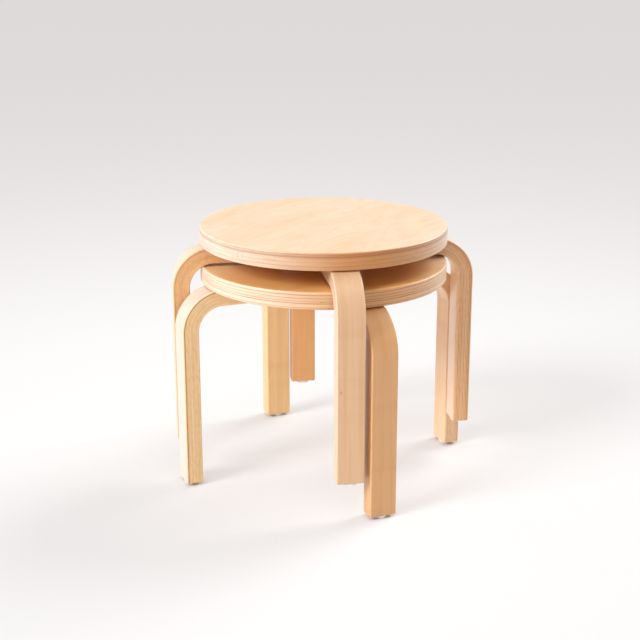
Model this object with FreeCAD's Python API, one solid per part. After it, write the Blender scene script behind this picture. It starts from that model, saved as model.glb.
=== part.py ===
import FreeCAD, Part
import math
import os

# A stack of two alike stools, in millimetres, with +Z up and the floor at Z = 0.
# The origin is on the floor, under the common axis of the two round seats.
# Each stool has a plywood seat, four bent legs of laminated wood screwed under it,
# and a plastic glide nailed under each foot. The legs stand outside the seat's rim,
# so that a second stool drops over the first, turned by a little more than a leg's width.

# Seat
seat_diameter = 350.0
seat_thickness = 24.0
seat_rim_round = 2.0
seat_height = 310.0

# Legs
leg_width = 38.0
leg_thickness = 24.0
leg_edge_round = 2.0
bend_inner_radius = 35.0
rim_to_leg_gap = 17.0
arm_end_radius = 62.0

# Glides
glide_diameter = 20.0
glide_height = 4.0
glide_edge_round = 1.2
glide_recess_diameter = 9.0
glide_recess_depth = 2.0

# Glide nails
nail_head_diameter = 7.0
nail_head_height = 1.2
nail_shank_diameter = 2.4
nail_shank_length = 20.0
nail_tip_length = 3.0
nail_tip_diameter = 0.6
nail_hole_clearance = 0.1

# Leg screws
screws_in_each_leg = 3
screw_head_diameter = 9.6
screw_head_rim = 0.4
screw_head_cone = 2.3
screw_head_sink = 0.4
screw_shank_diameter = 5.0
screw_tip_length = 5.0
screw_tip_diameter = 1.0
screw_end_margin = 15.0
screw_side_step = 7.0
screw_cover_under_seat_top = 8.0
screw_drive_span = 5.0
screw_drive_width = 1.1
screw_drive_depth = 1.9
screw_hole_clearance = 0.1

# Stack
lower_stool_turn = -68.4
leg_pair_gap = 3.4
stack_clearance = 0.3

# Names of the four legs, counted from the front and turning towards the right-hand side.
leg_names = ("front", "right", "rear", "left")

# Heights and radii that follow from the sizes above.
seat_radius = seat_diameter / 2
seat_underside_z = seat_height - seat_thickness
arm_underside_z = seat_underside_z - leg_thickness
leg_inner_radius = seat_radius + rim_to_leg_gap
leg_outer_radius = leg_inner_radius + leg_thickness
leg_middle_radius = (leg_inner_radius + leg_outer_radius) / 2
bend_outer_radius = bend_inner_radius + leg_thickness
bend_centre_radius = leg_inner_radius - bend_inner_radius
screw_length = leg_thickness + seat_thickness - screw_cover_under_seat_top - screw_head_sink

origin = FreeCAD.Vector(0, 0, 0)
up = FreeCAD.Vector(0, 0, 1)


def stack_pitch():
    """Height of the upper stool over the lower: its inner bends sit on the lower seat's rim."""
    reach = bend_inner_radius - seat_rim_round - stack_clearance
    inset = max(seat_radius - seat_rim_round - bend_centre_radius, 0)
    rise = math.sqrt(reach * reach - inset * inset)
    gap_over_seat = bend_inner_radius - seat_rim_round - rise
    return seat_thickness + leg_thickness + gap_over_seat


def stack_turn():
    """Turn from one stool to the next, in degrees, which keeps neighbouring legs apart."""
    half_pair = (leg_width + leg_pair_gap) / 2
    return 2 * math.degrees(math.atan(half_pair / leg_inner_radius))


def point(x, z):
    """A point in the middle plane of the leg that points along +X."""
    return FreeCAD.Vector(x, 0, z)


def line(start, end):
    return Part.LineSegment(start, end).toShape()


def bend(radius, start, end):
    """Quarter arc about the leg's bend centre, from the arm to the upright."""
    half_right_angle = math.sqrt(0.5) * radius
    centre_z = seat_underside_z - bend_outer_radius
    middle = point(bend_centre_radius + half_right_angle, centre_z + half_right_angle)
    return Part.Arc(start, middle, end).toShape()


def turned_profile(points):
    """Solid of revolution about Z, from (radius, height) points that start and end on the axis."""
    corners = [FreeCAD.Vector(radius, 0, height) for radius, height in points]
    outline = Part.makePolygon(corners + [corners[0]])
    return Part.Face(outline).revolve(origin, up, 360)


def screw_blank(clearance):
    """Countersunk wood screw that points up, with its head's flat face at Z = 0."""
    head = screw_head_diameter / 2 + clearance
    shank = screw_shank_diameter / 2 + clearance
    tip = screw_tip_diameter / 2 + clearance
    neck_z = screw_head_rim + screw_head_cone
    top = screw_length + clearance
    return turned_profile([
        (0, 0),
        (head, 0),
        (head, screw_head_rim),
        (shank, neck_z),
        (shank, top - screw_tip_length),
        (tip, top),
        (0, top),
    ])


def screw():
    """Screw with a cross recess in its head."""
    half_span = screw_drive_span / 2
    half_width = screw_drive_width / 2
    slot = Part.makeBox(screw_drive_span, screw_drive_width, screw_drive_depth,
                        FreeCAD.Vector(-half_span, -half_width, 0))
    cross_slot = slot.copy()
    cross_slot.rotate(origin, up, 90)
    return screw_blank(0).cut(slot.fuse(cross_slot))


def screw_places():
    """Places of a leg's screws on the arm's underside, in a shallow zigzag along the arm."""
    first = arm_end_radius + screw_end_margin
    last = bend_centre_radius - screw_end_margin
    step = (last - first) / max(screws_in_each_leg - 1, 1)
    places = []
    for index in range(screws_in_each_leg):
        side = screw_side_step if index % 2 else -screw_side_step
        places.append(FreeCAD.Vector(first + step * index, side, arm_underside_z + screw_head_sink))
    return places


def screw_hole(place):
    """Hole for one screw, open through the arm's underside."""
    hole = screw_blank(screw_hole_clearance)
    mouth_radius = screw_head_diameter / 2 + screw_hole_clearance
    mouth = Part.makeCylinder(mouth_radius, screw_head_sink, FreeCAD.Vector(0, 0, -screw_head_sink))
    hole = hole.fuse(mouth)
    hole.translate(place)
    return hole


def nail(clearance):
    """Glide nail that points up, with its head's flat face at Z = 0."""
    head = nail_head_diameter / 2
    shank = nail_shank_diameter / 2 + clearance
    tip = nail_tip_diameter / 2 + clearance
    top = nail_head_height + nail_shank_length + clearance
    return turned_profile([
        (0, 0),
        (head, 0),
        (head, nail_head_height),
        (shank, nail_head_height),
        (shank, top - nail_tip_length),
        (tip, top),
        (0, top),
    ])


def place_nail(shape):
    """Sets a nail, or its hole, with its head against the roof of the glide's recess."""
    shape.translate(FreeCAD.Vector(leg_middle_radius, 0, glide_recess_depth - nail_head_height))
    return shape


def glide():
    """Plastic glide with a rounded lower edge and a recess for the nail's head."""
    disc = Part.makeCylinder(glide_diameter / 2, glide_height)
    lower_edge = [edge for edge in disc.Edges if edge.BoundBox.ZMax < glide_height / 2]
    disc = disc.makeFillet(glide_edge_round, lower_edge)
    recess = Part.makeCylinder(glide_recess_diameter / 2, glide_recess_depth)
    disc = disc.cut(recess)
    disc.translate(FreeCAD.Vector(leg_middle_radius, 0, 0))
    return disc.cut(place_nail(nail(nail_hole_clearance)))


def leg():
    """Bent leg that points along +X: an arm under the seat, a quarter bend and an upright."""
    bend_start_z = seat_underside_z - bend_outer_radius
    outer_foot = point(leg_outer_radius, glide_height)
    outer_bend = point(leg_outer_radius, bend_start_z)
    arm_top_bend = point(bend_centre_radius, seat_underside_z)
    arm_top_end = point(arm_end_radius, seat_underside_z)
    arm_low_end = point(arm_end_radius, arm_underside_z)
    arm_low_bend = point(bend_centre_radius, arm_underside_z)
    inner_bend = point(leg_inner_radius, bend_start_z)
    inner_foot = point(leg_inner_radius, glide_height)
    outline = Part.Wire([
        line(outer_foot, outer_bend),
        bend(bend_outer_radius, outer_bend, arm_top_bend),
        line(arm_top_bend, arm_top_end),
        line(arm_top_end, arm_low_end),
        line(arm_low_end, arm_low_bend),
        bend(bend_inner_radius, arm_low_bend, inner_bend),
        line(inner_bend, inner_foot),
        line(inner_foot, outer_foot),
    ])
    side = Part.Face(outline)
    side.translate(FreeCAD.Vector(0, -leg_width / 2, 0))
    body = side.extrude(FreeCAD.Vector(0, leg_width, 0))
    body = body.makeFillet(leg_edge_round, body.Edges)
    for place in screw_places():
        body = body.cut(screw_hole(place))
    return body.cut(place_nail(nail(nail_hole_clearance)))


def leg_screws():
    """The screws of one leg, as separate solids."""
    screws = []
    for place in screw_places():
        one_screw = screw()
        one_screw.translate(place)
        screws.append(one_screw)
    return Part.makeCompound(screws)


def leg_turn(index):
    """Turn of one of the evenly spaced legs of a stool, in degrees."""
    return index * 360 / len(leg_names)


def seat():
    """Round seat with rounded rims and a pilot hole for each leg screw."""
    disc = Part.makeCylinder(seat_radius, seat_thickness, FreeCAD.Vector(0, 0, seat_underside_z))
    rims = [edge for edge in disc.Edges if edge.BoundBox.ZLength < seat_rim_round / 2]
    disc = disc.makeFillet(seat_rim_round, rims)
    for index in range(len(leg_names)):
        for place in screw_places():
            hole = screw_hole(place)
            hole.rotate(origin, up, leg_turn(index))
            disc = disc.cut(hole)
    return disc


def stool_pieces():
    """Every piece of one stool with its first leg along +X, as (name, shape) pairs."""
    pieces = [("seat", seat())]
    shapes_at_each_leg = [
        ("leg", leg()),
        ("leg_screws", leg_screws()),
        ("glide", glide()),
        ("glide_nail", place_nail(nail(0))),
    ]
    for index, leg_name in enumerate(leg_names):
        for kind, shape in shapes_at_each_leg:
            copy = shape.copy()
            copy.rotate(origin, up, leg_turn(index))
            pieces.append((kind + "_" + leg_name, copy))
    return pieces


def write_stool(stool_name, pieces, turn, lift):
    """Writes one stool's pieces, turned about the common axis and lifted to its place."""
    for name, shape in pieces:
        placed = shape.copy()
        placed.rotate(origin, up, turn)
        placed.translate(FreeCAD.Vector(0, 0, lift))
        placed.exportStep("parts/" + stool_name + "_" + name + ".step")


os.makedirs("parts", exist_ok=True)
alike_pieces = stool_pieces()
write_stool("lower", alike_pieces, lower_stool_turn, 0)
write_stool("upper", alike_pieces, lower_stool_turn - stack_turn(), stack_pitch())
print("stack pitch", round(stack_pitch(), 3), "mm, stack turn", round(stack_turn(), 3), "degrees")
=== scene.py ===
import math

import bpy
from mathutils import Matrix, Vector


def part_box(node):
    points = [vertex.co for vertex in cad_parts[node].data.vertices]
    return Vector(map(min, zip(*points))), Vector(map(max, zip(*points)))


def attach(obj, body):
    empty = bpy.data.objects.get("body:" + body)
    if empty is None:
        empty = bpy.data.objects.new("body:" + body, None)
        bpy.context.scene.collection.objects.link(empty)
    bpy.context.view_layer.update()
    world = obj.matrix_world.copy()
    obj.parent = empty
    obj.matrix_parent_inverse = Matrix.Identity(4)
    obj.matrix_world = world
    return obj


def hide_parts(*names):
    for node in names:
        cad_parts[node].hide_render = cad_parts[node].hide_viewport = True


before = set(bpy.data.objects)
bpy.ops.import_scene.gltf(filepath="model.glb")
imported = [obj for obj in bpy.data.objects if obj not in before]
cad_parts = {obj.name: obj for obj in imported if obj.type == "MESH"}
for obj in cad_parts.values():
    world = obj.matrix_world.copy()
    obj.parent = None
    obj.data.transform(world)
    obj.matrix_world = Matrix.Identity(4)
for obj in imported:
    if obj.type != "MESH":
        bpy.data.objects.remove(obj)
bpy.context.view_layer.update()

# A stack of two low stools in clear-lacquered birch. The seats and the bent legs are modelled
# here at the frame's places; the glides, nails and screws keep their own shapes.

MM = 0.001

# Shapes that the frame's boxes don't give, in millimetres.
LEG_WIDTH = 38.0
LEG_THICKNESS = 24.0
LEG_EDGE_ROUND = 2.0
LEG_END_ROUND = 1.5
BEND_INNER_RADIUS = 35.0
ARM_END_RADIUS = 62.0
SEAT_RIM_ROUND = 2.0
SEAT_RING_WIDTHS = (1.0, 60.0, 60.0)
SCREW_MOUTH_RADIUS = 4.9
SCREW_MOUTH_DEPTH = 0.8
SCREW_NECK_RADIUS = 2.6
SCREW_NECK_DEPTH = 3.1
SCREW_MARGIN = 15.0
SCREW_SIDE_STEP = 7.0
SCREW_COUNT = 3
CUTTER_MARGIN = 1.0

# Points this near, in millimetres, are made one, and places this near count as the same.
SAME_POINT = 0.001
SAME_PLACE = 0.01

# How finely round shapes are stepped, the angle up to which two faces blend, and how much the
# blend favours the larger face, where 50 is not at all.
LEG_EDGE_STEPS = 5
LEG_END_STEPS = 4
BEND_STEPS = 28
SEAT_RIM_STEPS = 6
SEAT_SIDES = 256
SCREW_MOUTH_SIDES = 40
SMOOTH_DEGREES = 40
LARGE_FACE_WEIGHT = 100

# A leg has eight core veneers between two face veneers.
FACE_VENEER = 2.8
CORE_VENEER = 2.3

# Plies of each seat from its top down: depth where each starts, and how dark its edge is.
SEAT_PLIES = {
    "lower": (
        (0.0, 0.0), (3.3, 0.8), (4.3, 0.05), (7.6, 0.55), (8.6, 0.1), (11.8, 0.6),
        (12.8, 0.05), (14.6, 0.85), (15.6, 0.0), (20.3, 0.5), (21.3, 0.1),
    ),
    "upper": (
        (0.0, 0.05), (1.4, 0.7), (2.8, 0.4), (4.2, 0.85), (6.4, 0.3), (8.2, 0.1),
        (12.0, 0.45), (13.0, 0.15), (17.6, 0.55), (18.8, 0.2), (22.2, 0.0),
    ),
}

LEG_NAMES = ("front", "right", "rear", "left")
STOOLS = ("lower", "upper")

# Colours of each piece's wood, since no two pieces of birch are alike, with painted light and
# shade on the seats. A seat has one for its top, oranger on the lower seat as painted shade under
# the upper one, and one for the top's ends towards +X and -X, paler as painted light where the
# lamps reach in between the seats. Then one for the palest part of its rim, where it faces the
# lamps, and one for the brownest: partly the plies' end grain soaking up more lacquer, partly
# painted shade on the side turned from the lamps. The brownest part lies round from +X by the
# angle given, and again opposite.
SEAT_GRAIN_DEGREES = {"lower": 12.0, "upper": 60.0}
SEAT_TOPS_TONE_AND_SHADE = {"lower": "#F8C57C", "upper": "#EFD0AE"}
SEAT_LIT_END_WOODS = {"lower": "#FFEDD0", "upper": "#F2D5B6"}
RIM_LIT_PALE = {"lower": "#FDE9D0", "upper": "#F6E5D2"}
RIM_SHADED_BROWN = {"lower": "#DFAC76", "upper": "#D4985B"}
RIM_SHADED_DEGREES = {"lower": -66.0, "upper": -70.0}
RIM_CONTRAST = {"lower": 0.8, "upper": 0.62}

# How close the painted light of the pale ends keeps to the seat's edge and the brown, with its
# painted shade, to its middle, and the share of the rim's rounding over which the top's colour
# gives way to the rim's.
SEAT_LIT_END_POWER = 6
RIM_SHADE_POWER = 3
RIM_BLEND = 0.5

# The legs' faces and their sides where the veneers' edges show, each partly the piece's own
# tone and partly painted light and shade, set leg by leg to how brightly it is lit. Then how dark
# the glue lines are, from 0 to 1: those in the core and the one under the outer face veneer. Each
# row has the legs in the order of their names.
LEG_FACE_TONES_AND_LIGHT = {
    "lower": ("#DCA976", "#FADAB4", "#F9D39A", "#EEDBCC"),
    "upper": ("#DFB790", "#FBE2C8", "#E4AE74", "#F6E0C4"),
}
LEG_SIDE_TONES_AND_LIGHT = {
    "lower": ("#E6B682", "#F8D3A8", "#F9D8A2", "#FFDEAC"),
    "upper": ("#F6DEC4", "#F6C999", "#EBB476", "#EFC08A"),
}
LEG_GLUE = {
    "lower": ((0.4, 0.4), (0.3, 0.4), (0.4, 0.4), (0.2, 1.0)),
    "upper": ((0.3, 0.4), (1.0, 0.8), (0.4, 0.4), (0.45, 0.6)),
}

# Small gaps in the upper seat's rim, round from +X and under its top, and how dark the painted
# shade inside them is.
RIM_GAP_DEGREES = (229.4, 231.9)
RIM_GAP_DEPTHS = (10.3, 14.5)
RIM_GAP_RADIUS = 0.9
RIM_GAP_SHADE = 0.75

# The pin knot on the upper stool's front leg: that leg's number, the knot's height over the
# foot and place aside, and the knot and the paler halo round it, drawn out along the grain.
PIN_KNOT_LEG = 4
PIN_KNOT_HEIGHT = 130.0
PIN_KNOT_SIDE = -13.5
PIN_KNOT_RADIUS = 1.1
PIN_KNOT_STRETCH = (0.7, 1, 1)
HALO_RADIUS = 2.2
HALO_STRETCH = (0.5, 1, 1)

# Lengths along a leg start a little over the whole metre that numbers the leg.
GRAIN_START = 0.1

lower_seat_low, lower_seat_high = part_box("lower_seat")
upper_seat_low, upper_seat_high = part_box("upper_seat")
seat_radius = lower_seat_high.y
seat_thickness = lower_seat_high.z - lower_seat_low.z
stack_pitch = upper_seat_low.z - lower_seat_low.z


def box_middle(node_name):
    low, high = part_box(node_name)
    return (low + high) / 2


foot_middle = box_middle("lower_glide_front")
leg_middle_radius = math.hypot(foot_middle.x, foot_middle.y)
leg_outer_radius = leg_middle_radius + LEG_THICKNESS * MM / 2
foot_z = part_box("lower_leg_front")[0].z
arm_top_z = lower_seat_low.z
bend_outer_radius = (BEND_INNER_RADIUS + LEG_THICKNESS) * MM
bend_x = leg_outer_radius - bend_outer_radius
bend_z = arm_top_z - bend_outer_radius
arm_underside_z = arm_top_z - LEG_THICKNESS * MM


# Modelling

def deselect_all():
    for one in bpy.context.selected_objects:
        one.select_set(False)


def select_only(obj):
    deselect_all()
    obj.select_set(True)
    bpy.context.view_layer.objects.active = obj


def edit(obj, select_mode="FACE"):
    """Opens one object in edit mode with nothing selected."""
    select_only(obj)
    bpy.ops.object.mode_set(mode="EDIT")
    bpy.ops.mesh.select_mode(type=select_mode)
    bpy.ops.mesh.select_all(action="DESELECT")


def select_where(obj, kind, test):
    """Selects the faces or edges of the object in edit mode that pass a test of their corners."""
    bpy.ops.mesh.select_all(action="DESELECT")
    bpy.ops.object.mode_set(mode="OBJECT")
    mesh = obj.data
    for element in getattr(mesh, kind):
        element.select = test([mesh.vertices[index].co for index in element.vertices])
    bpy.ops.object.mode_set(mode="EDIT")


def apply_modifier(obj, kind, **settings):
    modifier = obj.modifiers.new(kind.lower(), kind)
    for name, value in settings.items():
        setattr(modifier, name, value)
    select_only(obj)
    bpy.ops.object.modifier_apply(modifier=modifier.name)


def smooth(obj):
    """Smooth rounded edges between faces that stay flat."""
    select_only(obj)
    bpy.ops.object.shade_smooth_by_angle(angle=math.radians(SMOOTH_DEGREES))
    apply_modifier(
        obj, "WEIGHTED_NORMAL", mode="FACE_AREA", weight=LARGE_FACE_WEIGHT, keep_sharp=True)


def near(value, target):
    return abs(value - target) < SAME_PLACE * MM


def round_end(obj, test):
    """Rounds the rim of an end face, whose corners pass a test."""
    bpy.ops.mesh.select_mode(type="EDGE")
    select_where(obj, "edges", lambda corners: all(test(corner) for corner in corners))
    bpy.ops.mesh.bevel(
        offset=LEG_END_ROUND * MM, offset_type="OFFSET", segments=LEG_END_STEPS, affect="EDGES")


def model_leg_body():
    """Bent leg along +X, drawn from the arm's end through the bend to the foot."""
    deselect_all()
    arm_middle_z = arm_top_z - LEG_THICKNESS * MM / 2
    bpy.ops.mesh.primitive_plane_add(
        size=1, location=(ARM_END_RADIUS * MM, 0, arm_middle_z), rotation=(0, -math.pi / 2, 0))
    leg = bpy.context.object
    leg.scale = (LEG_THICKNESS * MM, LEG_WIDTH * MM, 1)
    bpy.ops.object.transform_apply(location=True, rotation=True, scale=True)
    edit(leg, "VERT")
    bpy.ops.mesh.select_all(action="SELECT")
    bpy.ops.mesh.bevel(offset=LEG_EDGE_ROUND * MM, segments=LEG_EDGE_STEPS, affect="VERTICES")
    bpy.ops.mesh.select_mode(type="FACE")
    bpy.ops.mesh.select_all(action="SELECT")
    arm_length = bend_x - ARM_END_RADIUS * MM
    bpy.ops.mesh.extrude_region_move(TRANSFORM_OT_translate={"value": (arm_length, 0, 0)})
    bpy.ops.mesh.spin(
        steps=BEND_STEPS, angle=math.pi / 2, center=(bend_x, 0, bend_z), axis=(0, -1, 0))
    bpy.ops.mesh.extrude_region_move(TRANSFORM_OT_translate={"value": (0, 0, foot_z - bend_z)})
    bpy.ops.mesh.select_all(action="SELECT")
    bpy.ops.mesh.remove_doubles(threshold=SAME_POINT * MM)
    bpy.ops.mesh.normals_make_consistent(inside=False)
    round_end(leg, lambda corner: near(corner.x, ARM_END_RADIUS * MM))
    round_end(leg, lambda corner: near(corner.z, foot_z))
    bpy.ops.object.mode_set(mode="OBJECT")
    return leg


def screw_places():
    first = (ARM_END_RADIUS + SCREW_MARGIN) * MM
    last = bend_x - SCREW_MARGIN * MM
    step = (last - first) / (SCREW_COUNT - 1)
    for index in range(SCREW_COUNT):
        side = SCREW_SIDE_STEP if index % 2 else -SCREW_SIDE_STEP
        yield first + step * index, side * MM


def countersink(x, y):
    """Cutter for one screw's countersunk mouth in the arm's underside."""
    depth = (SCREW_MOUTH_DEPTH + CUTTER_MARGIN) * MM
    middle_z = arm_underside_z + (SCREW_MOUTH_DEPTH - CUTTER_MARGIN) * MM / 2
    deselect_all()
    bpy.ops.mesh.primitive_cylinder_add(
        vertices=SCREW_MOUTH_SIDES, radius=SCREW_MOUTH_RADIUS * MM, depth=depth,
        location=(x, y, middle_z))
    cutter = bpy.context.object
    bpy.ops.object.transform_apply(location=True, rotation=True, scale=True)
    edit(cutter)
    top_z = arm_underside_z + SCREW_MOUTH_DEPTH * MM
    select_where(cutter, "polygons",
                 lambda corners: all(near(corner.z, top_z) for corner in corners))
    bpy.ops.mesh.extrude_region_move(
        TRANSFORM_OT_translate={"value": (0, 0, (SCREW_NECK_DEPTH - SCREW_MOUTH_DEPTH) * MM)})
    narrowing = SCREW_NECK_RADIUS / SCREW_MOUTH_RADIUS
    bpy.ops.transform.resize(value=(narrowing, narrowing, 1), center_override=(x, y, 0))
    bpy.ops.object.mode_set(mode="OBJECT")
    return cutter


def model_leg():
    leg = model_leg_body()
    for x, y in screw_places():
        cutter = countersink(x, y)
        apply_modifier(leg, "BOOLEAN", object=cutter, operation="DIFFERENCE", solver="EXACT")
        bpy.data.objects.remove(cutter)
    smooth(leg)
    return leg


def model_seat():
    """Seat disc of the lower stool, with round rims and rings of faces inside each flat."""
    deselect_all()
    middle_z = (lower_seat_low.z + lower_seat_high.z) / 2
    bpy.ops.mesh.primitive_cylinder_add(
        vertices=SEAT_SIDES, radius=seat_radius, depth=seat_thickness, location=(0, 0, middle_z),
        end_fill_type="NGON")
    seat = bpy.context.object
    bpy.ops.object.transform_apply(location=True, rotation=True, scale=True)
    edit(seat, "EDGE")
    select_where(seat, "edges", lambda corners: near(corners[0].z, corners[1].z))
    bpy.ops.mesh.bevel(
        offset=SEAT_RIM_ROUND * MM, offset_type="OFFSET", segments=SEAT_RIM_STEPS, affect="EDGES")
    bpy.ops.mesh.select_mode(type="FACE")
    for flat_z in (lower_seat_low.z, lower_seat_high.z):
        for ring_width in SEAT_RING_WIDTHS:
            select_where(
                seat, "polygons",
                lambda corners: len(corners) == SEAT_SIDES and near(corners[0].z, flat_z))
            bpy.ops.mesh.inset(thickness=ring_width * MM, use_even_offset=True)
    bpy.ops.object.mode_set(mode="OBJECT")
    smooth(seat)
    return seat


# Wood grain coordinates, kept on each piece so that the figure follows its bends

def set_wood(mesh, grain_of, wood_of, glue):
    """Grain place and colour of every point, and the darkness of the piece's glue lines."""
    for name in ("grain", "wood", "glue"):
        mesh.attributes.new(name, "FLOAT_VECTOR", "POINT")
    for vertex, value in zip(mesh.vertices, mesh.attributes["grain"].data):
        value.vector = grain_of(vertex.co)
    for vertex, value in zip(mesh.vertices, mesh.attributes["wood"].data):
        value.vector = wood_of(vertex.co)
    for value in mesh.attributes["glue"].data:
        value.vector = (glue[0], glue[1], 0)


def blended(share, first, second):
    """Linear colour part of the way from one to another."""
    share = min(max(share, 0.0), 1.0)
    return [a + (b - a) * share for a, b in zip(first, second)]


def leg_wood_colour(face, side):
    """One colour on the broad faces and one on the sides, blending over the rounded edges."""
    flat_half = LEG_WIDTH / 2 - LEG_EDGE_ROUND
    face_colour = linear(face)[:3]
    side_colour = linear(side)[:3]

    def wood_of(place):
        return blended((abs(place.y) / MM - flat_half) / LEG_EDGE_ROUND, face_colour, side_colour)

    return wood_of


def seat_wood_colour(stool):
    """One colour on the flats that pales towards +X and -X as painted light, and round the rim a
    pale one that turns brown on two opposite sides, partly end grain and partly painted shade."""
    top = linear(SEAT_TOPS_TONE_AND_SHADE[stool])[:3]
    lit_ends = linear(SEAT_LIT_END_WOODS[stool])[:3]
    pale = linear(RIM_LIT_PALE[stool])[:3]
    shaded_brown = linear(RIM_SHADED_BROWN[stool])[:3]
    shaded_side = math.radians(RIM_SHADED_DEGREES[stool])

    def wood_of(place):
        beyond_flat = (math.hypot(place.x, place.y) - seat_radius) / MM + SEAT_RIM_ROUND
        # The rim's brown side is partly end grain and partly painted shade turned away from the
        # lamps.
        turn = abs(math.cos(math.atan2(place.y, place.x) - shaded_side))
        rim = blended(turn ** RIM_SHADE_POWER, pale, shaded_brown)
        # The top's pale ends are painted light where the lamps reach between the seats; the lower
        # top's orange is partly painted shade.
        flat = blended((place.x / seat_radius) ** SEAT_LIT_END_POWER, top, lit_ends)
        return blended(beyond_flat / (SEAT_RIM_ROUND * RIM_BLEND), flat, rim)

    return wood_of


def leg_grain(piece_number):
    """Length from the foot, place across the width and depth under the outer face.
    Whole metres of length tell one leg from the next."""
    upright = bend_z - foot_z
    bend_middle_radius = bend_outer_radius - LEG_THICKNESS * MM / 2

    def grain_of(place):
        beyond_x = max(place.x - bend_x, 0)
        beyond_z = max(place.z - bend_z, 0)
        depth = bend_outer_radius - math.hypot(beyond_x, beyond_z)
        along = place.z - foot_z
        if beyond_z > 0:
            bent = bend_middle_radius * math.atan2(beyond_z, beyond_x)
            along = upright + bent + max(bend_x - place.x, 0)
        return (piece_number + GRAIN_START + along, place.y, depth)

    return grain_of


def seat_grain(piece_number, degrees):
    """Place along and across the face veneer, and depth under the seat's top.
    Whole metres of depth tell one seat from the next."""
    turn = Matrix.Rotation(-math.radians(degrees), 3, "Z")

    def grain_of(place):
        turned = turn @ place
        depth = lower_seat_high.z - place.z
        return (turned.x, turned.y, piece_number + depth)

    return grain_of


def rim_place(degrees, depth):
    """Place on the lower seat's rim, round from +X and under its top."""
    turn = math.radians(degrees)
    height = lower_seat_high.z - depth * MM
    return Vector((seat_radius * math.cos(turn), seat_radius * math.sin(turn), height))


# Materials

# Sizes of the wood's patterns in millimetres: along the grain, across it and through the
# layers. A layer's number counts as metres, so a whole metre parts it from the next.
NEXT_LAYER = 1000
FLAME_HILLS = (230, 55, NEXT_LAYER)
FLAME_BREAKS = (38, 16, NEXT_LAYER)
FLECKS = (30, 3.2, NEXT_LAYER)
VENEER_PATCHES = (150, 45, NEXT_LAYER)
PLY_WANDER = (70, 70, 40)
PLY_STREAKS = (20, 20, 0.45)
PLY_DRIFT = (40, 40, 3.0)
PLY_GAPS = (4.5, 4.5, 1.4)
LEG_STREAKS = (260, 5, NEXT_LAYER)
LEG_CLOUDS = (240, 13, NEXT_LAYER)
SIDE_BLOTCHES = (9, 3.5, NEXT_LAYER)

# Pores and fibres run lengthwise. Real ones are 0.1 mm wide; these are wide enough to show.
FACE_FIBRES = (14, 0.6, NEXT_LAYER)
LEG_FIBRES = (40, 0.7, NEXT_LAYER)
SIDE_FIBRES = (30, 0.6, NEXT_LAYER)

# Half widths of the glue lines, where they are fully dark and where they end. Real lines are
# about 0.1 mm wide; these are wide enough to show. The driest are this much of the darkest.
CORE_GLUE = (0.1, 0.7)
FACE_GLUE = (0.4, 1.2)
DRY_GLUE = 0.35

# How far the plies of a seat wander up and down, and the depth over which the figure of a
# leg's faces turns into another, in millimetres.
PLY_SWING = 0.8
LEG_FIGURE_DEPTH = 4.0

# Numbers that keep alike patterns apart: the back veneer's from the top's, one leg's from the
# next, and the chances of a leg's veneers from those of its glue joints.
BACK_LAYER = 7.0
LEG_LAYER_STEP = 1.7
VENEER_CHANCES = 0.0
JOINT_CHANCES = 3.0

# Pattern sizes of the small pieces. The nylon's skin is finer in truth, about 0.05 mm, and so
# are the steel's scratches; both are coarse enough here to show.
NYLON_SKIN = (0.5, 0.5, 0.5)
NYLON_SCUFFS = (6, 2.5, 4)
PLATING_CLOUDS = (2.5, 2.5, 2.5)
STEEL_SCRATCHES = (3, 0.3, 0.6)

# Depth of each finish's relief in millimetres, and how much the streaks and fibres rise beside
# the sunk plies and glue lines.
FIBRE_RELIEF = 0.02
PLY_RELIEF = 0.05
PLY_STREAK_RISE = 0.4
VENEER_RELIEF = 0.03
VENEER_FIBRE_RISE = 0.3
SKIN_RELIEF = 0.02

# Ranges of a pattern's values: all of them, those that most of a noise keeps to, and its peaks.
WHOLE = (0.0, 1.0)
USUAL = (0.3, 0.7)
PEAKS = (0.5, 0.75)

# Ranges over which single patterns set in.
FLAME_RANGE = (-0.2, 1.0)
UNBROKEN_RANGE = (0.36, 0.62)
FLECK_RANGE = (0.52, 0.74)
PATCH_RANGE = (0.4, 0.66)
PLY_RANGE = (0.4, 0.7)
GAP_RANGE = (0.86, 0.88)
LEG_RANGE = (0.42, 0.7)
BLOTCH_RANGE = (0.48, 0.72)
SCUFF_RANGE = (0.5, 0.8)

# Roughness of each finish where it is glossiest and where it is dullest, and how much rougher
# a plating is where it is cloudy.
TOP_ROUGHNESS = (0.36, 0.44)
BACK_ROUGHNESS = (0.42, 0.5)
EDGE_ROUGHNESS = (0.36, 0.5)
LEG_ROUGHNESS = (0.36, 0.46)
NYLON_ROUGHNESS = (0.42, 0.55)
CLOUDY_ROUGHER = 0.15

# How far the axes of a noise lean: the first on the second, and both of them on the third.
LEAN_ON_SECOND = 0.43
LEANS_ON_THIRD = (0.31, 0.37)

# Radians of the growth rings' wave over the height of the hills that they are cut from.
RING_RADIANS = 62.0

# Share of a spot's radius that is fully dark.
SPOT_CORE = 0.6

# Sockets of a Mix node between colours.
SHARE = 0
FIRST = 6
SECOND = 7

# Clear lacquer over the wood, one thin coat of it under the seats, and nylon, which lets light
# in for about 2 mm.
CLEAR_LACQUER = {
    "IOR": 1.5,
    "Specular IOR Level": 0.25,
    "Coat Weight": 0.55,
    "Coat Roughness": 0.28,
}
ONE_COAT = {"IOR": 1.5}
MILKY_NYLON = {"IOR": 1.53, "Subsurface Weight": 0.08, "Subsurface Scale": 2.0 * MM}


def linear(hex_colour):
    """Linear colour of an sRGB hex value."""
    channels = [int(hex_colour[start:start + 2], 16) / 255 for start in (1, 3, 5)]
    return [c / 12.92 if c <= 0.04045 else ((c + 0.055) / 1.055) ** 2.4 for c in channels] + [1.0]


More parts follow.
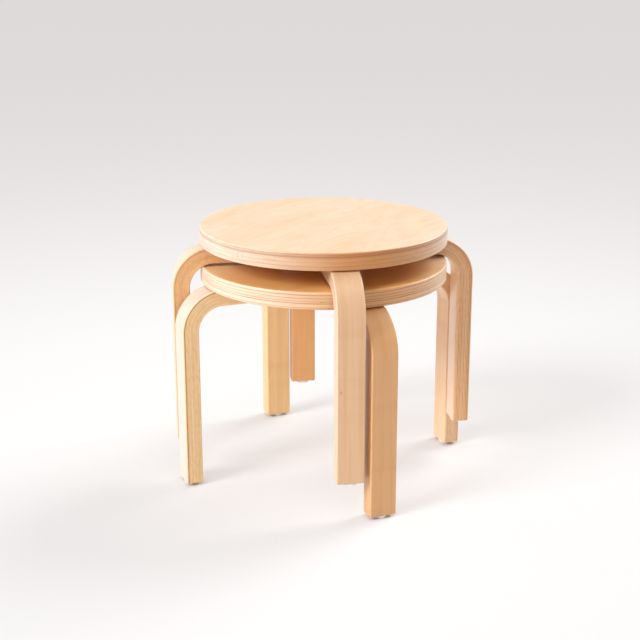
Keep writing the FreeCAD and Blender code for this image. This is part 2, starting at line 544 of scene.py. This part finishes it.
def add(tree, kind, inputs=(), **settings):
    """Adds a node with its settings. Its inputs, in order or by socket, are values, hex colours,
    outputs of other nodes, or other nodes, which give their first output in use."""
    made = tree.nodes.new("ShaderNode" + kind)
    for name, value in settings.items():
        setattr(made, name, value)
    for socket, value in inputs.items() if isinstance(inputs, dict) else enumerate(inputs):
        if isinstance(value, bpy.types.Node):
            value = next(output for output in value.outputs if output.enabled)
        if isinstance(value, bpy.types.NodeSocket):
            tree.links.new(value, made.inputs[socket])
        else:
            made.inputs[socket].default_value = linear(value) if isinstance(value, str) else value
    return made


def new_material(name):
    material = bpy.data.materials.new(name)
    material.use_nodes = True
    material.node_tree.nodes.clear()
    return material, material.node_tree


def finish_material(tree, colour, roughness, height, relief, constants):
    """Shader and output, with a relief in millimetres; the constants are the same all over."""
    bump = add(tree, "Bump", {"Height": height, "Distance": relief * MM, "Strength": 1.0})
    surface = {"Base Color": colour, "Roughness": roughness, "Normal": bump}
    shader = add(tree, "BsdfPrincipled", {**surface, **constants})
    add(tree, "OutputMaterial", {"Surface": shader})


def grain_axes(tree):
    """The piece's own grain coordinates: along the grain, across it and in depth."""
    grain = add(tree, "Attribute", attribute_name="grain").outputs["Vector"]
    return add(tree, "SeparateXYZ", (grain,)).outputs


def object_axes(tree):
    """The piece's own X, Y and Z."""
    place = add(tree, "TexCoord").outputs["Object"]
    return add(tree, "SeparateXYZ", (place,)).outputs


def stretched_noise(tree, axes, sizes, detail=3.0, roughness=0.5):
    """Noise whose blots measure the given sizes in millimetres along the three axes. Each axis
    leans on the next, so that the noise's own lattice doesn't show as bands across the grain."""
    first, second, third = [
        add(tree, "Math", (axis, size * MM), operation="DIVIDE") for axis, size in zip(axes, sizes)]
    leaning = add(tree, "Math", (second, LEAN_ON_SECOND, first), operation="MULTIPLY_ADD")
    place = add(tree, "CombineXYZ", (
        add(tree, "Math", (third, LEANS_ON_THIRD[0], leaning), operation="MULTIPLY_ADD"),
        add(tree, "Math", (third, LEANS_ON_THIRD[1], second), operation="MULTIPLY_ADD"),
        third,
    ))
    inputs = {"Vector": place, "Scale": 1.0, "Detail": detail, "Roughness": roughness}
    return add(tree, "TexNoise", inputs)


def stain(tree, colour, pattern, window, strength, tint):
    """Multiplies a colour by a tint as a pattern rises through a window of its range, up to a
    strength from 0 to 1."""
    share = add(tree, "MapRange", (pattern, *window, 0.0, strength))
    inputs = {SHARE: share, FIRST: colour, SECOND: tint}
    return add(tree, "Mix", inputs, data_type="RGBA", blend_type="MULTIPLY")


def spots(tree, centres, radius, axes_scale=(1, 1, 1)):
    """1 inside small spots of a radius in millimetres about given grain places."""
    grain = add(tree, "Attribute", attribute_name="grain").outputs["Vector"]
    place = add(tree, "VectorMath", (grain, axes_scale), operation="MULTIPLY")
    nearest = 1.0
    for centre in centres:
        scaled = [value * scale for value, scale in zip(centre, axes_scale)]
        apart = add(tree, "VectorMath", (place, scaled), operation="DISTANCE")
        nearest = add(tree, "Math", (nearest, apart), operation="MINIMUM")
    return add(tree, "MapRange", (nearest, radius * MM * SPOT_CORE, radius * MM, 1.0, 0.0))


def chance(tree, piece, number, series):
    """A chance value from 0 to 1 for each numbered veneer or joint of each piece."""
    place = add(tree, "CombineXYZ", (piece, number, series))
    return add(tree, "TexWhiteNoise", {"Vector": place})


def rotary_figure(tree, axes):
    """Figure of a peeled veneer: growth rings cut almost flat, so they wander in broad flames
    and leave short flecks."""
    hills = stretched_noise(tree, axes, FLAME_HILLS, detail=2.0, roughness=0.45)
    wave = add(tree, "Math", (hills, RING_RADIANS), operation="MULTIPLY")
    rings = add(tree, "Math", (wave,), operation="SINE")
    flames = add(tree, "MapRange", (rings, *FLAME_RANGE))
    breaks = stretched_noise(tree, axes, FLAME_BREAKS, roughness=0.6)
    unbroken = add(tree, "MapRange", (breaks, *UNBROKEN_RANGE))
    specks = stretched_noise(tree, axes, FLECKS, roughness=0.6)
    flecks = add(tree, "MapRange", (specks, *FLECK_RANGE))
    return add(tree, "Math", (flames, unbroken), operation="MULTIPLY"), flecks


def lacquered_birch_face():
    """Peeled birch veneer, sanded and clear lacquered: pale cream with faint honey flames."""
    material, tree = new_material("lacquered_birch_veneer")
    along, across, depth = grain_axes(tree)
    layer = add(tree, "Math", (depth,), operation="FLOOR")
    axes = (along, across, layer)
    flames, flecks = rotary_figure(tree, axes)
    patches = stretched_noise(tree, axes, VENEER_PATCHES, detail=2.0)
    fibres = stretched_noise(tree, axes, FACE_FIBRES, detail=2.0, roughness=0.6)
    colour = add(tree, "Attribute", attribute_name="wood").outputs["Vector"]
    colour = stain(tree, colour, patches, PATCH_RANGE, 0.5, "#FAE9D2")
    colour = stain(tree, colour, flames, WHOLE, 0.55, "#F6E2C8")
    colour = stain(tree, colour, flecks, WHOLE, 0.22, "#F0DCC0")
    colour = stain(tree, colour, fibres, PEAKS, 0.2, "#EFD9BC")
    roughness = add(tree, "MapRange", (patches, *USUAL, *TOP_ROUGHNESS))
    finish_material(tree, colour, roughness, fibres, FIBRE_RELIEF, CLEAR_LACQUER)
    return material


def birch_underside():
    """Back veneer under a seat, lacquered once: browner than the top, with more figure, and darker
    still as painted shade for the gap between stacked seats.
    """
    material, tree = new_material("birch_back_veneer")
    along, across, depth = grain_axes(tree)
    number = add(tree, "Math", (depth,), operation="FLOOR")
    layer = add(tree, "Math", (number, BACK_LAYER), operation="ADD")
    axes = (along, across, layer)
    flames, flecks = rotary_figure(tree, axes)
    fibres = stretched_noise(tree, axes, FACE_FIBRES, detail=2.0, roughness=0.6)
    # These browns are darker than the veneer's own as painted shade in the gap between the seats.
    inputs = {SHARE: flames, FIRST: "#DDA466", SECOND: "#C98C50"}
    colour = add(tree, "Mix", inputs, data_type="RGBA")
    colour = stain(tree, colour, flecks, WHOLE, 0.6, "#E3C29A")
    colour = stain(tree, colour, fibres, PEAKS, 0.5, "#DDBB92")
    roughness = add(tree, "MapRange", (flecks, *WHOLE, *BACK_ROUGHNESS))
    finish_material(tree, colour, roughness, fibres, FIBRE_RELIEF, ONE_COAT)
    return material


def ply_darkness(tree, axes, plies):
    """How dark each ply's edge is, in steps down the rim that wander a little."""
    depth = add(tree, "Math", (axes[2],), operation="FRACT")
    wander = stretched_noise(tree, axes, PLY_WANDER, detail=1.0)
    swing = add(tree, "MapRange", (wander, *WHOLE, -PLY_SWING * MM, PLY_SWING * MM))
    wavy = add(tree, "Math", (depth, swing), operation="ADD")
    share = add(tree, "Math", (wavy, seat_thickness), operation="DIVIDE")
    steps = add(tree, "ValToRGB", (share,))
    ramp = steps.color_ramp
    ramp.interpolation = "CONSTANT"
    while len(ramp.elements) < len(plies):
        ramp.elements.new(1.0)
    for element, (ply_depth, darkness) in zip(ramp.elements, plies):
        element.position = ply_depth * MM / seat_thickness
        element.color = (darkness, darkness, darkness, 1.0)
    return steps


def rim_gaps(tree, axes):
    """1 in the few small gaps of the inner plies, where a knot fell out before gluing."""
    grain_of = seat_grain(STOOLS.index("upper"), SEAT_GRAIN_DEGREES["upper"])
    places = []
    for degrees in RIM_GAP_DEGREES:
        for depth in RIM_GAP_DEPTHS:
            places.append(grain_of(rim_place(degrees, depth)))
    placed = spots(tree, places, RIM_GAP_RADIUS)
    blots = stretched_noise(tree, axes, PLY_GAPS, detail=0.0)
    scattered = add(tree, "MapRange", (blots, *GAP_RANGE))
    return add(tree, "Math", (placed, scattered), operation="MAXIMUM")


def sanded_plywood_edge(name, plies):
    """Edge of birch plywood, sanded and lacquered: pale plies between darker ones whose grain
    points outwards, each with its own shade."""
    material, tree = new_material(name)
    axes = grain_axes(tree)
    glue = add(tree, "Attribute", attribute_name="glue").outputs["Vector"]
    contrast = add(tree, "SeparateXYZ", (glue,)).outputs["X"]
    shade = ply_darkness(tree, axes, plies)
    contrasted = add(tree, "Math", (shade, contrast), operation="MULTIPLY")
    streaks = stretched_noise(tree, axes, PLY_STREAKS, roughness=0.65)
    drift = stretched_noise(tree, axes, PLY_DRIFT, detail=2.0)
    colour = add(tree, "Attribute", attribute_name="wood").outputs["Vector"]
    colour = stain(tree, colour, contrasted, WHOLE, 1.0, "#B57F4E")
    colour = stain(tree, colour, streaks, PLY_RANGE, 0.4, "#DDB68C")
    colour = stain(tree, colour, drift, PLY_RANGE, 0.2, "#E0B78A")
    gap = rim_gaps(tree, axes)
    # The gaps' dark brown is painted shade inside the voids.
    gap_shade_share = add(tree, "Math", (gap, RIM_GAP_SHADE), operation="MULTIPLY")
    inputs = {SHARE: gap_shade_share, FIRST: colour, SECOND: "#6B4426"}
    colour = add(tree, "Mix", inputs, data_type="RGBA")
    roughness = add(tree, "MapRange", (streaks, *USUAL, *EDGE_ROUGHNESS))
    raised = add(tree, "Math", (streaks, PLY_STREAK_RISE), operation="MULTIPLY")
    sunk = add(tree, "Math", (shade, gap), operation="ADD")
    height = add(tree, "Math", (raised, sunk), operation="SUBTRACT")
    finish_material(tree, colour, roughness, height, PLY_RELIEF, CLEAR_LACQUER)
    return material


def core_veneers(tree, piece, in_core):
    """1 in the core, each core veneer's own shade, and how dark the glue lines between them
    are: some were squeezed dry and are faint, others dark."""
    half_core = (LEG_THICKNESS / 2 - FACE_VENEER) * MM
    offset = add(tree, "Math", (in_core, half_core), operation="SUBTRACT")
    from_middle = add(tree, "Math", (offset,), operation="ABSOLUTE")
    inside = add(tree, "Math", (from_middle, half_core), operation="LESS_THAN")
    count = add(tree, "Math", (in_core, CORE_VENEER * MM), operation="DIVIDE")
    veneer_number = add(tree, "Math", (count,), operation="FLOOR")
    joint_number = add(tree, "Math", (count,), operation="ROUND")
    shade = chance(tree, piece, veneer_number, VENEER_CHANCES)
    wetness = chance(tree, piece, joint_number, JOINT_CHANCES)
    from_joint = add(tree, "Math", (in_core, CORE_VENEER / 2 * MM), operation="PINGPONG")
    dark, end = CORE_GLUE
    line = add(tree, "MapRange", (from_joint, dark * MM, end * MM, 1.0, 0.0))
    line = add(tree, "Math", (line, inside), operation="MULTIPLY")
    wet = add(tree, "MapRange", (wetness, *WHOLE, DRY_GLUE, 1.0))
    return inside, shade, add(tree, "Math", (line, wet), operation="MULTIPLY")


def glue_lines(tree, in_core, core_line):
    """Darkness of the glue lines in the core and under the outer face veneer, each kind by the
    piece's own measure."""
    glue = add(tree, "Attribute", attribute_name="glue").outputs["Vector"]
    measures = add(tree, "SeparateXYZ", (glue,)).outputs
    from_face = add(tree, "Math", (in_core,), operation="ABSOLUTE")
    dark, end = FACE_GLUE
    face_line = add(tree, "MapRange", (from_face, dark * MM, end * MM, 1.0, 0.0))
    core_line = add(tree, "Math", (core_line, measures["X"]), operation="MULTIPLY")
    face_line = add(tree, "Math", (face_line, measures["Y"]), operation="MULTIPLY")
    return add(tree, "Math", (core_line, face_line), operation="MAXIMUM")


def pin_knot(tree, colour):
    """The one small knot, with its halo, over the wood's colour."""
    along = PIN_KNOT_LEG + GRAIN_START + PIN_KNOT_HEIGHT * MM
    places = [(along, PIN_KNOT_SIDE * MM, 0.0)]
    halo = spots(tree, places, HALO_RADIUS, HALO_STRETCH)
    knot = spots(tree, places, PIN_KNOT_RADIUS, PIN_KNOT_STRETCH)
    colour = stain(tree, colour, halo, WHOLE, 0.2, "#C79A6A")
    return stain(tree, colour, knot, WHOLE, 0.35, "#8A5E38")


def laminated_birch(name, tint):
    """Bent leg of birch veneers glued with the grain all one way, sanded and clear lacquered.
    Its sides show the veneers as fine stripes that follow the bend."""
    material, tree = new_material(name)
    along, across, depth = grain_axes(tree)
    piece = add(tree, "Math", (along,), operation="FLOOR")
    in_core = add(tree, "Math", (depth, FACE_VENEER * MM), operation="SUBTRACT")
    inside, shade, core_line = core_veneers(tree, piece, in_core)
    line = glue_lines(tree, in_core, core_line)
    leg_layer = add(tree, "Math", (piece, LEG_LAYER_STEP), operation="MULTIPLY")
    figures = 1 / (LEG_FIGURE_DEPTH * MM)
    layer = add(tree, "Math", (depth, figures, leg_layer), operation="MULTIPLY_ADD")
    face_axes = (along, across, layer)
    side_axes = (along, depth, piece)
    streaks = stretched_noise(tree, face_axes, LEG_STREAKS)
    clouds = stretched_noise(tree, face_axes, LEG_CLOUDS, detail=2.0)
    fibres = stretched_noise(tree, face_axes, LEG_FIBRES, detail=2.0, roughness=0.6)
    side_fibres = stretched_noise(tree, side_axes, SIDE_FIBRES, detail=2.0, roughness=0.6)
    blots = stretched_noise(tree, side_axes, SIDE_BLOTCHES)
    blotches = add(tree, "MapRange", (blots, *BLOTCH_RANGE))
    from_middle = add(tree, "Math", (across,), operation="ABSOLUTE")
    side_start = (LEG_WIDTH / 2 - LEG_EDGE_ROUND) * MM
    on_side = add(tree, "MapRange", (from_middle, side_start, LEG_WIDTH / 2 * MM))
    blotches = add(tree, "Math", (blotches, on_side), operation="MULTIPLY")
    core_shade = add(tree, "Math", (shade, inside), operation="MULTIPLY")
    colour = add(tree, "Attribute", attribute_name="wood").outputs["Vector"]
    inputs = {SHARE: 1.0, FIRST: colour, SECOND: tint}
    colour = add(tree, "Mix", inputs, data_type="RGBA", blend_type="MULTIPLY")
    colour = stain(tree, colour, core_shade, WHOLE, 0.3, "#E3CCAE")
    colour = stain(tree, colour, streaks, LEG_RANGE, 0.22, "#EBD3B4")
    colour = stain(tree, colour, clouds, LEG_RANGE, 0.3, "#EFD9BC")
    colour = stain(tree, colour, fibres, PEAKS, 0.2, "#E2C7A4")
    colour = stain(tree, colour, side_fibres, PEAKS, 0.16, "#DDBF99")
    colour = stain(tree, colour, blotches, WHOLE, 0.25, "#D3A878")
    colour = stain(tree, colour, line, WHOLE, 0.75, "#A3754A")
    colour = pin_knot(tree, colour)
    roughness = add(tree, "MapRange", (streaks, *USUAL, *LEG_ROUGHNESS))
    all_fibres = add(tree, "Math", (fibres, side_fibres), operation="ADD")
    raised = add(tree, "Math", (all_fibres, VENEER_FIBRE_RISE), operation="MULTIPLY")
    height = add(tree, "Math", (raised, line), operation="SUBTRACT")
    finish_material(tree, colour, roughness, height, VENEER_RELIEF, CLEAR_LACQUER)
    return material


def moulded_nylon():
    """Injection-moulded white nylon of a furniture glide: milky, with a fine spark-eroded skin."""
    material, tree = new_material("moulded_white_nylon")
    axes = object_axes(tree)
    skin = stretched_noise(tree, axes, NYLON_SKIN, detail=2.0)
    scuffs = stretched_noise(tree, axes, NYLON_SCUFFS)
    scuffed = add(tree, "MapRange", (scuffs, *SCUFF_RANGE))
    inputs = {SHARE: scuffed, FIRST: "#FBFAF7", SECOND: "#E6E3DB"}
    colour = add(tree, "Mix", inputs, data_type="RGBA")
    roughness = add(tree, "MapRange", (scuffs, *USUAL, *NYLON_ROUGHNESS))
    finish_material(tree, colour, roughness, skin, SKIN_RELIEF, MILKY_NYLON)
    return material


def plated_steel(name, pale, dark, smoothest):
    """Zinc-plated or drawn steel of a small fastener: grey metal with cloudy plating."""
    material, tree = new_material(name)
    axes = object_axes(tree)
    clouds = stretched_noise(tree, axes, PLATING_CLOUDS)
    scratches = stretched_noise(tree, axes, STEEL_SCRATCHES, detail=2.0)
    cloudy = add(tree, "MapRange", (clouds, *USUAL))
    colour = add(tree, "Mix", {SHARE: cloudy, FIRST: pale, SECOND: dark}, data_type="RGBA")
    roughness = add(tree, "MapRange", (clouds, *USUAL, smoothest, smoothest + CLOUDY_ROUGHER))
    finish_material(tree, colour, roughness, scratches, SKIN_RELIEF, {"Metallic": 1.0})
    return material


face_veneer = lacquered_birch_face()
ply_edges = {
    stool: sanded_plywood_edge(stool + "_seat_birch_plywood_edge", SEAT_PLIES[stool])
    for stool in STOOLS
}
back_veneer = birch_underside()
leg_wood = laminated_birch("lacquered_laminated_birch", "#FFFFFF")
leg_end_grain = laminated_birch("laminated_birch_end_grain", "#D8B28A")
nylon = moulded_nylon()
screw_zinc = plated_steel("yellow_zinc_plated_steel", "#CFC6A8", "#B5A98A", 0.3)
nail_steel = plated_steel("drawn_nail_steel", "#A5A5A2", "#858583", 0.35)


# Pieces

# How squarely a face looks along an axis to count as an end of a leg or a flat of a seat.
END_NORMAL = 0.8
FLAT_NORMAL = 0.75

# Material slots of a leg's mesh and of a seat's.
LEG_WOOD_SLOT = 0
LEG_ENDS_SLOT = 1
SEAT_TOP_SLOT = 0
SEAT_EDGE_SLOT = 1
SEAT_BACK_SLOT = 2


def give_leg_materials(mesh):
    mesh.materials.clear()
    mesh.materials.append(leg_wood)
    mesh.materials.append(leg_end_grain)
    for face in mesh.polygons:
        at_arm_end = face.normal.x < -END_NORMAL and near(face.center.x, ARM_END_RADIUS * MM)
        at_foot = face.normal.z < -END_NORMAL and near(face.center.z, foot_z)
        face.material_index = LEG_ENDS_SLOT if at_arm_end or at_foot else LEG_WOOD_SLOT


def give_seat_materials(mesh, stool):
    mesh.materials.clear()
    mesh.materials.append(face_veneer)
    mesh.materials.append(ply_edges[stool])
    mesh.materials.append(back_veneer)
    for face in mesh.polygons:
        face.material_index = SEAT_EDGE_SLOT
        if face.normal.z > FLAT_NORMAL:
            face.material_index = SEAT_TOP_SLOT
        elif face.normal.z < -FLAT_NORMAL:
            face.material_index = SEAT_BACK_SLOT


def copy_piece(pattern, name, grain_of, wood_of, glue, degrees, lift):
    """A copy with its own mesh and grain, turned about the stack's axis and lifted."""
    mesh = pattern.data.copy()
    mesh.name = name
    set_wood(mesh, grain_of, wood_of, glue)
    turn = Matrix.Rotation(math.radians(degrees), 4, "Z")
    mesh.transform(Matrix.Translation((0, 0, lift)) @ turn)
    piece = bpy.data.objects.new(name, mesh)
    bpy.context.scene.collection.objects.link(piece)
    return piece


def place_piece(piece, body, node_name):
    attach(piece, body)
    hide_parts(node_name)


leg_pattern = model_leg()
give_leg_materials(leg_pattern.data)
seat_pattern = model_seat()

for stool_number, stool in enumerate(STOOLS):
    body = stool + "_stool"
    lift = stack_pitch * stool_number
    grain_of = seat_grain(stool_number, SEAT_GRAIN_DEGREES[stool])
    wood_of = seat_wood_colour(stool)
    glue = (RIM_CONTRAST[stool], 0)
    seat = copy_piece(seat_pattern, stool + "_seat_wood", grain_of, wood_of, glue, 0, lift)
    give_seat_materials(seat.data, stool)
    place_piece(seat, body, stool + "_seat")
    for leg_number, leg_name in enumerate(LEG_NAMES):
        glide_place = box_middle(stool + "_glide_" + leg_name)
        degrees = math.degrees(math.atan2(glide_place.y, glide_place.x))
        grain_of = leg_grain(len(LEG_NAMES) * stool_number + leg_number)
        # Each leg's face and side colours carry painted light and shade besides its own tone.
        wood_of = leg_wood_colour(LEG_FACE_TONES_AND_LIGHT[stool][leg_number], LEG_SIDE_TONES_AND_LIGHT[stool][leg_number])
        glue = LEG_GLUE[stool][leg_number]
        name = stool + "_leg_wood_" + leg_name
        leg = copy_piece(leg_pattern, name, grain_of, wood_of, glue, degrees, lift)
        place_piece(leg, body, stool + "_leg_" + leg_name)

for pattern in (leg_pattern, seat_pattern):
    bpy.data.objects.remove(pattern)

for node_name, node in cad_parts.items():
    finish = nylon
    if "screws" in node_name:
        finish = screw_zinc
    elif "nail" in node_name:
        finish = nail_steel
    for material_slot in node.material_slots:
        material_slot.material = finish


# Floor, light and camera

# Plain colours of the floor near the stools and far off, and the paper's own, which shades.
FLOOR_NEAR = "#F8F6F6"
FLOOR_FAR = "#DDD9D8"
FLOOR_PAPER = "#E8E6E5"

FLOOR_SIZE = 200

# The floor has its near look up to this many metres from the middle, and is half way to its far
# look where the square of the distance beyond that is as large as the fade.
FLOOR_NEAR_RADIUS = 0.35
FLOOR_FADE = 1.15

# Share of the floor's look that is plain colour and takes no shadow, near the stools and far
# off. Within a reach in millimetres of a foot it gives way to the shadow.
FLOOR_PLAIN_NEAR = 0.45
FLOOR_PLAIN_FAR = 1.0
FOOT_SHADOW_REACH = 14.0
FOOT_SHADOW_POWER = 1.5
FOOT_SHADOW_SAMPLES = 8

# Colours of the lamps' light.
COOL_WHITE = (0.98, 0.99, 1.01)
WARM_WHITE = (1.0, 0.99, 0.98)
PLAIN_WHITE = (1.0, 1.0, 1.0)

# Each lamp's degrees round from +X, degrees up from the floor, degrees wide, strength, colour.
LAMPS = {
    "key_from_left": (214, 31, 25, 2.4, COOL_WHITE),
    "low_left_front": (236, 12, 40, 0.45, WARM_WHITE),
    "sheen_from_left_rear": (150, 14, 50, 0.4, COOL_WHITE),
    "softbox_from_right_rear": (38, 37, 34, 2.4, PLAIN_WHITE),
    "overhead_softbox": (264, 72, 44, 0.6, PLAIN_WHITE),
}

# The room's own light.
ROOM_WHITE = (1.0, 0.98, 0.96, 1.0)
ROOM_STRENGTH = 0.25


def seen_directly(tree):
    """1 for what the camera sees, straight or through gloss and glass, and 0 for other light."""
    path = add(tree, "LightPath").outputs
    either = add(tree, "Math", (path["Is Camera Ray"], path["Is Glossy Ray"]), operation="MAXIMUM")
    return add(tree, "Math", (either, path["Is Transmission Ray"]), operation="MAXIMUM")


def floor_paper():
    """Matt white paper that greys softly with distance, as it does away from the lamps."""
    material, tree = new_material("matt_white_studio_floor")
    place = add(tree, "TexCoord").outputs["Object"]
    distance = add(tree, "VectorMath", (place,), operation="LENGTH")
    past_near = add(tree, "Math", (distance, FLOOR_NEAR_RADIUS), operation="SUBTRACT")
    beyond = add(tree, "Math", (past_near, 0.0), operation="MAXIMUM")
    squared = add(tree, "Math", (beyond, beyond), operation="MULTIPLY")
    whole = add(tree, "Math", (squared, FLOOR_FADE), operation="ADD")
    faded = add(tree, "Math", (squared, whole), operation="DIVIDE")
    plain_colour, paper_colour = [
        add(tree, "Mix", {SHARE: faded, FIRST: near_colour, SECOND: FLOOR_FAR}, data_type="RGBA")
        for near_colour in (FLOOR_NEAR, FLOOR_PAPER)]
    shaded = add(tree, "BsdfDiffuse", {"Color": paper_colour})
    plain = add(tree, "Emission", {"Color": plain_colour, "Strength": 1.0})
    share = add(tree, "MapRange", (faded, *WHOLE, FLOOR_PLAIN_NEAR, FLOOR_PLAIN_FAR))
    share = add(tree, "Math", (share, seen_directly(tree)), operation="MULTIPLY")
    reach = {"Distance": FOOT_SHADOW_REACH * MM}
    open_sky = add(tree, "AmbientOcclusion", reach, samples=FOOT_SHADOW_SAMPLES).outputs["AO"]
    from_feet = add(tree, "Math", (open_sky, FOOT_SHADOW_POWER), operation="POWER")
    share = add(tree, "Math", (share, from_feet), operation="MULTIPLY")
    mixed = add(tree, "MixShader", (share, shaded, plain))
    add(tree, "OutputMaterial", {"Surface": mixed})
    return material


def studio_floor():
    deselect_all()
    bpy.ops.mesh.primitive_plane_add(size=FLOOR_SIZE, location=(0, 0, 0))
    floor = bpy.context.object
    floor.name = "studio_floor"
    floor.data.materials.append(floor_paper())


def far_light(name, degrees_round, degrees_up, degrees_wide, strength, colour):
    """Wide soft light from far away, round from +X and up from the floor."""
    lamp = bpy.data.lights.new(name, "SUN")
    lamp.angle = math.radians(degrees_wide)
    lamp.energy = strength
    lamp.color = colour
    made = bpy.data.objects.new(name, lamp)
    made.rotation_euler = (0, math.radians(90 - degrees_up), math.radians(degrees_round))
    bpy.context.scene.collection.objects.link(made)


def room_light():
    """Even light from all round, as in a white studio, with the far floor's colour as its wall."""
    world = bpy.data.worlds.new("white_studio")
    world.use_nodes = True
    tree = world.node_tree
    tree.nodes.clear()
    light = add(tree, "Background", {"Color": ROOM_WHITE, "Strength": ROOM_STRENGTH})
    wall = add(tree, "Background", {"Color": FLOOR_FAR, "Strength": 1.0})
    mixed = add(tree, "MixShader", (seen_directly(tree), light, wall))
    add(tree, "OutputWorld", {"Surface": mixed})
    bpy.context.scene.world = world


# The view is that of the photograph, found from the stools' rims, edges and feet.
CAMERA_DISTANCE = 1.897
CAMERA_DEGREES_UP = 17.22
CAMERA_DEGREES_ROUND = -0.2
AIM_X = -0.005
AIM_Z = 0.2188
FOCAL_PIXELS = 1312.4
FRAME_PIXELS = 640
SENSOR_WIDTH = 36.0


def photograph_camera():
    camera = bpy.data.cameras.new("camera")
    camera.sensor_width = SENSOR_WIDTH
    camera.lens = FOCAL_PIXELS / FRAME_PIXELS * SENSOR_WIDTH
    camera.clip_end = FLOOR_SIZE
    made = bpy.data.objects.new("camera", camera)
    up = math.radians(CAMERA_DEGREES_UP)
    turn = math.radians(CAMERA_DEGREES_ROUND)
    back = CAMERA_DISTANCE * math.cos(up)
    place = Vector((AIM_X, -back, AIM_Z + CAMERA_DISTANCE * math.sin(up)))
    made.location = Matrix.Rotation(turn, 3, "Z") @ place
    made.rotation_euler = (math.pi / 2 - up, 0, turn)
    bpy.context.scene.collection.objects.link(made)
    bpy.context.scene.camera = made


studio_floor()
for name, settings in LAMPS.items():
    far_light(name, *settings)
room_light()
photograph_camera()
bpy.context.scene.view_settings.view_transform = "Standard"
